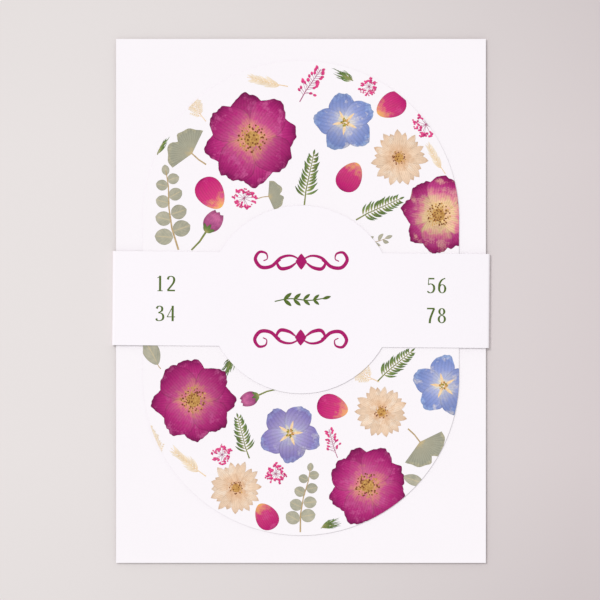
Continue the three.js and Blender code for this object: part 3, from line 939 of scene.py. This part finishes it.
def draw_sprig(drawing):
    stem = [(-1, -0.08), (-0.4, 0.03), (0.3, -0.03), (0.9, 0.06)]
    drawing.blade("numeral", 2, 40, brush(stem, lambda along, way: 0.022))
    for pair in range(4):
        x = -0.66 + 1.5 * pair / 4
        reach = 0.2 - 0.015 * pair
        for side in (1, -1):
            angle = side * 0.7 - math.pi / 2
            foot = (x + reach * 0.75 - reach * math.cos(0.7), side * (reach * 0.62 - reach * math.sin(0.7)))
            place = pointed_blade(reach * 0.36, reach * 2, angle, foot, 0, 0.75)
            drawing.blade("numeral", 6, 16, place)
    drawing.blade("numeral", 6, 16, pointed_blade(0.06, 0.34, 0.3 - math.pi / 2, (0.82, 0.03), 0, 0.75))


def print_on_band(node, draw, turn, level):
    """Draws a mark, turns it with the band and fits it to the box of the solid that it stands for."""
    drawing = Drawing(node + "_print", 0)
    draw(drawing)
    vertices = drawing.mesh.verts
    bmesh.ops.rotate(drawing.mesh, cent=(0, 0, 0), matrix=Matrix.Rotation(turn, 3, "Z"), verts=vertices)
    xs = [vertex.co.x for vertex in vertices]
    ys = [vertex.co.y for vertex in vertices]
    low, high = corners(node)
    scale = max(high.x - low.x, high.y - low.y) / max(max(xs) - min(xs), max(ys) - min(ys))
    fit = Matrix.Diagonal((scale, scale, 1, 1))
    middle = box_middle(node)
    x = middle.x - scale * (min(xs) + max(xs)) / 2
    y = middle.y - scale * (min(ys) + max(ys)) / 2
    piece = drawing.finish(Matrix.Translation((x, y, level)) @ fit, lambda mesh: None)
    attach(piece, "band")
    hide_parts(node)


def print_band():
    upright = box_middle("top_flourish") - box_middle("bottom_flourish")
    turn = -math.atan2(upright.x, upright.y)
    level = corners("band_front")[1].z
    for number in NUMERALS:
        print_on_band("numeral_%d" % number, draw_numeral(number), turn, level)
    print_on_band("top_flourish", draw_flourish(1), turn, level)
    print_on_band("bottom_flourish", draw_flourish(-1), turn, level)
    print_on_band("middle_sprig", draw_sprig, turn, level)


print_band()


# Papers: each sheet keeps the solids' shape, with smooth folds and cut edges that are a little soft

BAND_LENGTHS = ("band_front", "band_left_fold", "band_right_fold", "band_outer_lap", "band_inner_lap")
SOFT_EDGE = 0.03 * MM
MEETING = 5 * MICRON
FLAT = math.radians(1)
FOLD = math.radians(30)
UPRIGHT = 0.05
FACING_SIDEWAYS = 0.02


def merged_solid(node):
    """The node's triangles, merged to whole faces."""
    solid = bpy.data.objects[node]
    mesh = bmesh.new()
    mesh.from_mesh(solid.data)
    mesh.transform(solid.matrix_world)
    bmesh.ops.remove_doubles(mesh, verts=mesh.verts, dist=MICRON)
    bmesh.ops.dissolve_limit(mesh, angle_limit=FLAT, verts=mesh.verts, edges=mesh.edges)
    data = bpy.data.meshes.new(node + "_faces")
    mesh.to_mesh(data)
    mesh.free()
    return data


def remove_inner_ends(mesh):
    """Two lengths of one sheet meet face to face: those faces go, and their corners are joined."""
    middles = [face.calc_center_median() for face in mesh.faces]
    ends = [face for face, middle in zip(mesh.faces, middles)
            if sum((other - middle).length < MEETING for other in middles) > 1]
    bmesh.ops.delete(mesh, geom=ends, context="FACES_ONLY")
    bmesh.ops.remove_doubles(mesh, verts=mesh.verts, dist=MEETING)


def make_sheet(name, nodes, body, paper, edge):
    """Upright faces are cut edges, apart from those of the band's folds, which face sideways."""
    mesh = bmesh.new()
    for node in nodes:
        data = merged_solid(node)
        mesh.from_mesh(data)
        bpy.data.meshes.remove(data)
    remove_inner_ends(mesh)
    for face in mesh.faces:
        face.smooth = True
        upright = abs(face.normal.z) < UPRIGHT
        on_fold = len(nodes) > 1 and abs(face.normal.y) < FACING_SIDEWAYS
        # Upright cut faces take the darker edge finish: greyer cut card, with painted shade on it.
        face.material_index = 1 if upright and not on_fold else 0
    sheet = bpy.data.meshes.new(name)
    mesh.to_mesh(sheet)
    mesh.free()
    sheet.materials.append(paper)
    sheet.materials.append(edge)
    sheet.set_sharp_from_angle(angle=FOLD)
    piece = bpy.data.objects.new(name, sheet)
    bpy.context.collection.objects.link(piece)
    soft = piece.modifiers.new("soft_edge", "BEVEL")
    soft.width = SOFT_EDGE
    soft.segments = 2
    soft.limit_method = "ANGLE"
    soft.angle_limit = FOLD
    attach(piece, body)
    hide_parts(*nodes)


make_sheet("backing_sheet", ["base_card"], "cards", card_stock, card_edge_tone_and_shade)
make_sheet("flower_sheet", ["flower_card"], "cards", card_stock, card_edge_tone_and_shade)
make_sheet("band_sheet", BAND_LENGTHS, "band", band_paper, band_edge_tone_and_shade)

glue = bpy.data.objects["glue_strip"].data
glue.materials.clear()
glue.materials.append(glue_finish())


# Stage: a wide floor whose colour carries painted shade, the light's fall-off: it darkens to the right and
# a little at the picture's top and bottom. Soft light comes from the upper left

FLOOR_LIT_LEFT = tint(232, 226, 225)
FLOOR_SHADED_RIGHT = tint(215, 205, 206)
FLOOR_LEAN = -0.12
FLOOR_FALL = 0.1
FLOOR_CURVE = 1.6
FLOOR_DIM_FROM = 0.05
FLOOR_DIM_TO = 0.11
FLOOR_DIM_LEFT = 0.035
FLOOR_DIM_RIGHT = 0.1
FLOOR_HALF = 4.0


def make_floor():
    finish = Finish("floor", roughness=0.95, specular=0.05)
    along_x, along_y = finish.split(finish.place())
    # Painted shade: the colour goes from the lit left to the darker right, and dims towards the top and
    # bottom.
    share = finish.grey(along_x + along_y * FLOOR_LEAN, -FLOOR_FALL, FLOOR_FALL) ** FLOOR_CURVE
    dim = FLOOR_DIM_LEFT + share * (FLOOR_DIM_RIGHT - FLOOR_DIM_LEFT)
    level = 1 - finish.grey(abs(along_y), FLOOR_DIM_FROM, FLOOR_DIM_TO) * dim
    finish.feed("Base Color", finish.shaded(finish.mix(FLOOR_LIT_LEFT, FLOOR_SHADED_RIGHT, share), level))
    mesh = bmesh.new()
    bmesh.ops.create_grid(mesh, x_segments=1, y_segments=1, size=FLOOR_HALF)
    data = bpy.data.meshes.new("floor")
    mesh.to_mesh(data)
    mesh.free()
    data.materials.append(finish.material)
    floor = bpy.data.objects.new("floor", data)
    bpy.context.collection.objects.link(floor)


make_floor()

SUN_STRENGTH = 1.2
SUN_ELEVATION = 56
SUN_BEARING = 138
SUN_SOFTNESS = 20
AMBIENT = 0.69


def make_lights():
    data = bpy.data.lights.new("window", "SUN")
    data.energy = SUN_STRENGTH
    data.angle = math.radians(SUN_SOFTNESS)
    sun = bpy.data.objects.new("window", data)
    elevation = math.radians(SUN_ELEVATION)
    bearing = math.radians(SUN_BEARING)
    towards = Vector((math.cos(bearing) * math.cos(elevation), math.sin(bearing) * math.cos(elevation),
                      math.sin(elevation)))
    sun.rotation_euler = towards.to_track_quat("Z", "Y").to_euler()
    bpy.context.collection.objects.link(sun)

    world = bpy.data.worlds.new("world")
    bpy.context.scene.world = world
    world.use_nodes = True
    world.node_tree.nodes["Background"].inputs[0].default_value = (1, 1, 1, 1)
    world.node_tree.nodes["Background"].inputs[1].default_value = AMBIENT


make_lights()
